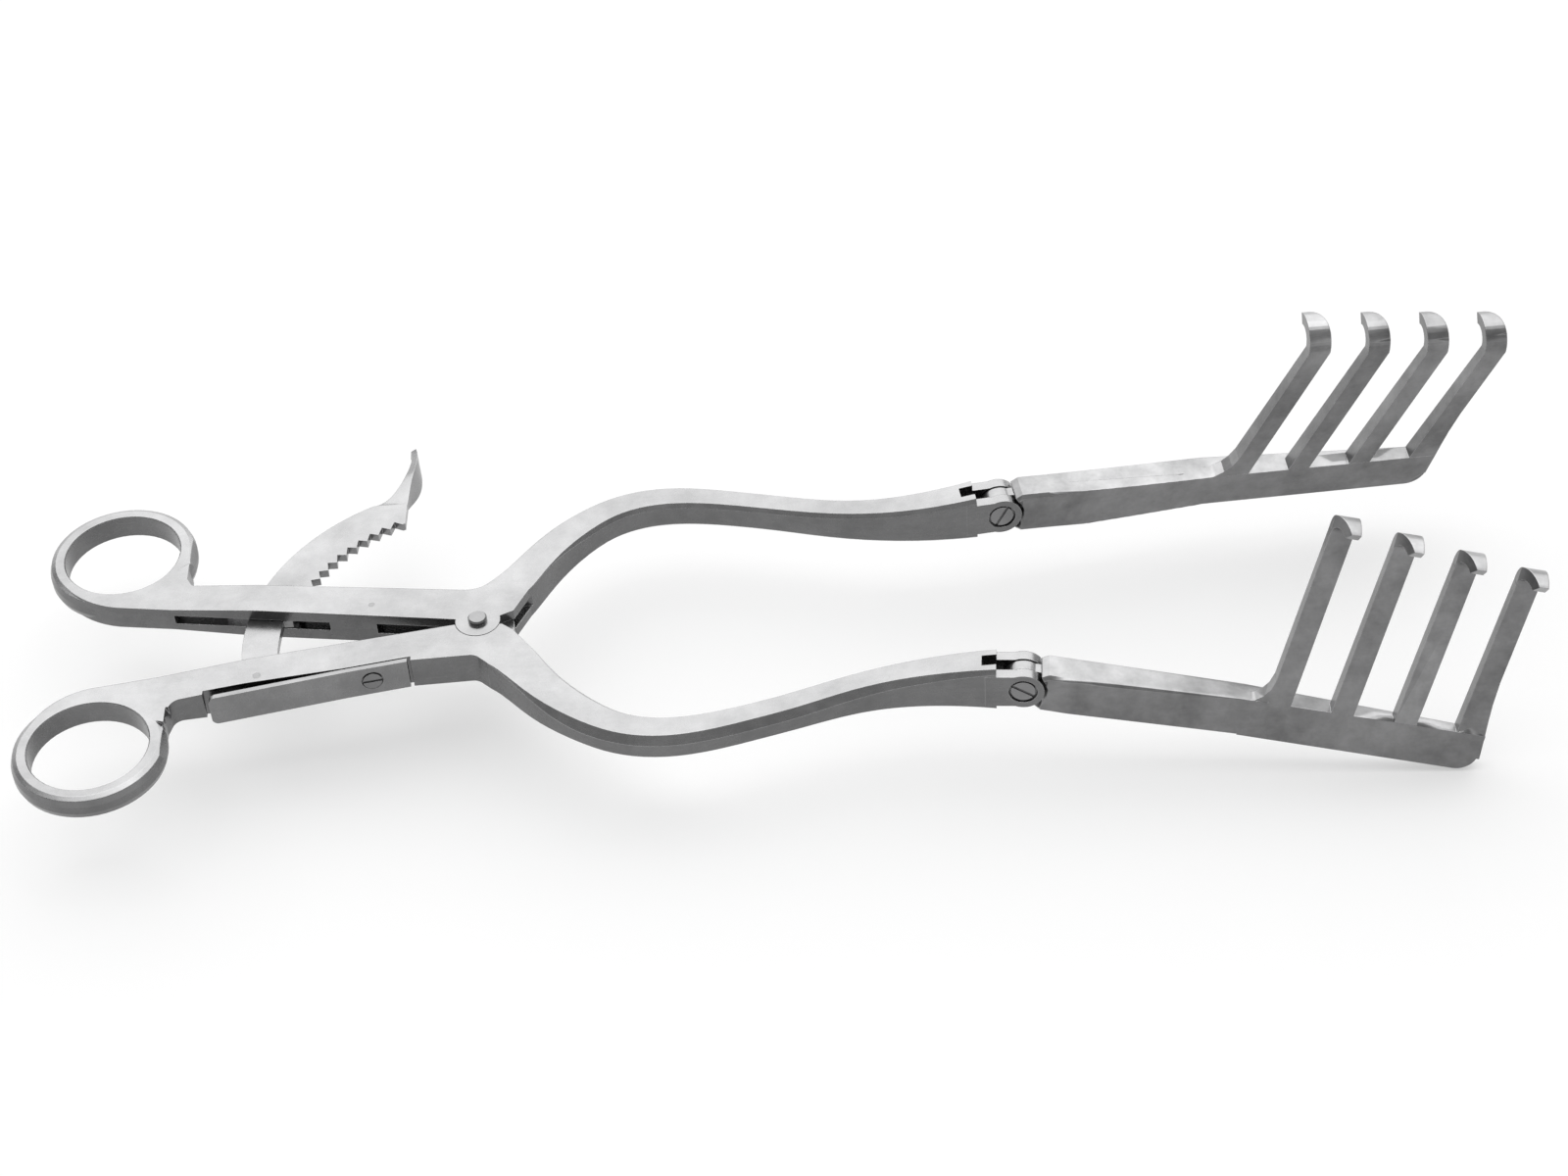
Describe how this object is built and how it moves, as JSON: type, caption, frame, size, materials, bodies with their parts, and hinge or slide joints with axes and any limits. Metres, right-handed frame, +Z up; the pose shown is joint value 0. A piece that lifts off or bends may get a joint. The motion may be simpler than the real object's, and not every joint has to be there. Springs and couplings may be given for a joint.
{
  "type": "self retaining retractor",
  "caption": "Hand-held self retaining retractor: ring-handled arms on a box lock, a ratchet bar with thumb piece, and hinged rake blades with curled prongs.",
  "frame": {"origin": "main pivot axis in the underside plane of the shanks", "axes": "+X towards the blades along the bisector of the arms, +Y towards the arm that carries the box plates, +Z up, the way the rivet head and the prongs point"},
  "size_m": [0.3065, 0.1021, 0.0641],
  "materials": {
    "arm_steel": "satin",
    "blade_steel": "satin",
    "bar_steel": "satin",
    "spring_steel": "fine ground",
    "fastener_steel": "turned"
  },
  "bodies": {
    "far_arm": {"box_arm": "arm_steel", "pivot_rivet": "fastener_steel", "dowel_pin": "fastener_steel", "far_hinge_screw": "fastener_steel"},
    "near_arm": {"tongue_arm": "arm_steel", "ratchet_pin": "fastener_steel", "spring_screw": "fastener_steel", "near_hinge_screw": "fastener_steel"},
    "ratchet": {"ratchet_bar": "bar_steel"},
    "spring": {"leaf_spring": "spring_steel"},
    "far_rake": {"far_blade": "blade_steel"},
    "near_rake": {"near_blade": "blade_steel"}
  },
  "joints": [
    {"name": "arms_pivot", "type": "hinge", "parent": "far_arm", "child": "near_arm", "pos_m": [0, 0, 0.0036], "axis": [0, 0, 1], "range_deg": [-12.75, 12.75]},
    {"name": "ratchet_release", "type": "hinge", "parent": "near_arm", "child": "ratchet", "pos_m": [-0.0444, -0.0119, 0.0036], "axis": [0, 0, 1], "range_deg": [-2.5, 4], "stiffness_Nm_per_rad": 0.12},
    {"name": "spring_flex", "type": "hinge", "parent": "near_arm", "child": "spring", "pos_m": [-0.0216, -0.01076, 0.0036], "axis": [0, 0, 1], "range_deg": [-0.7, 0.9]},
    {"name": "far_blade_hinge", "type": "hinge", "parent": "far_arm", "child": "far_rake", "pos_m": [0.109, 0.0265, 0.0052], "axis": [-0.108, 0.9942, 0], "range_deg": [-30, 55]},
    {"name": "near_blade_hinge", "type": "hinge", "parent": "near_arm", "child": "near_rake", "pos_m": [0.109, -0.0265, 0.0052], "axis": [0.108, 0.9942, 0], "range_deg": [-30, 55]}
  ],
  "couplings": [
    {"joint": "spring_flex", "follows": "ratchet_release", "ratio": 0.21}
  ]
}
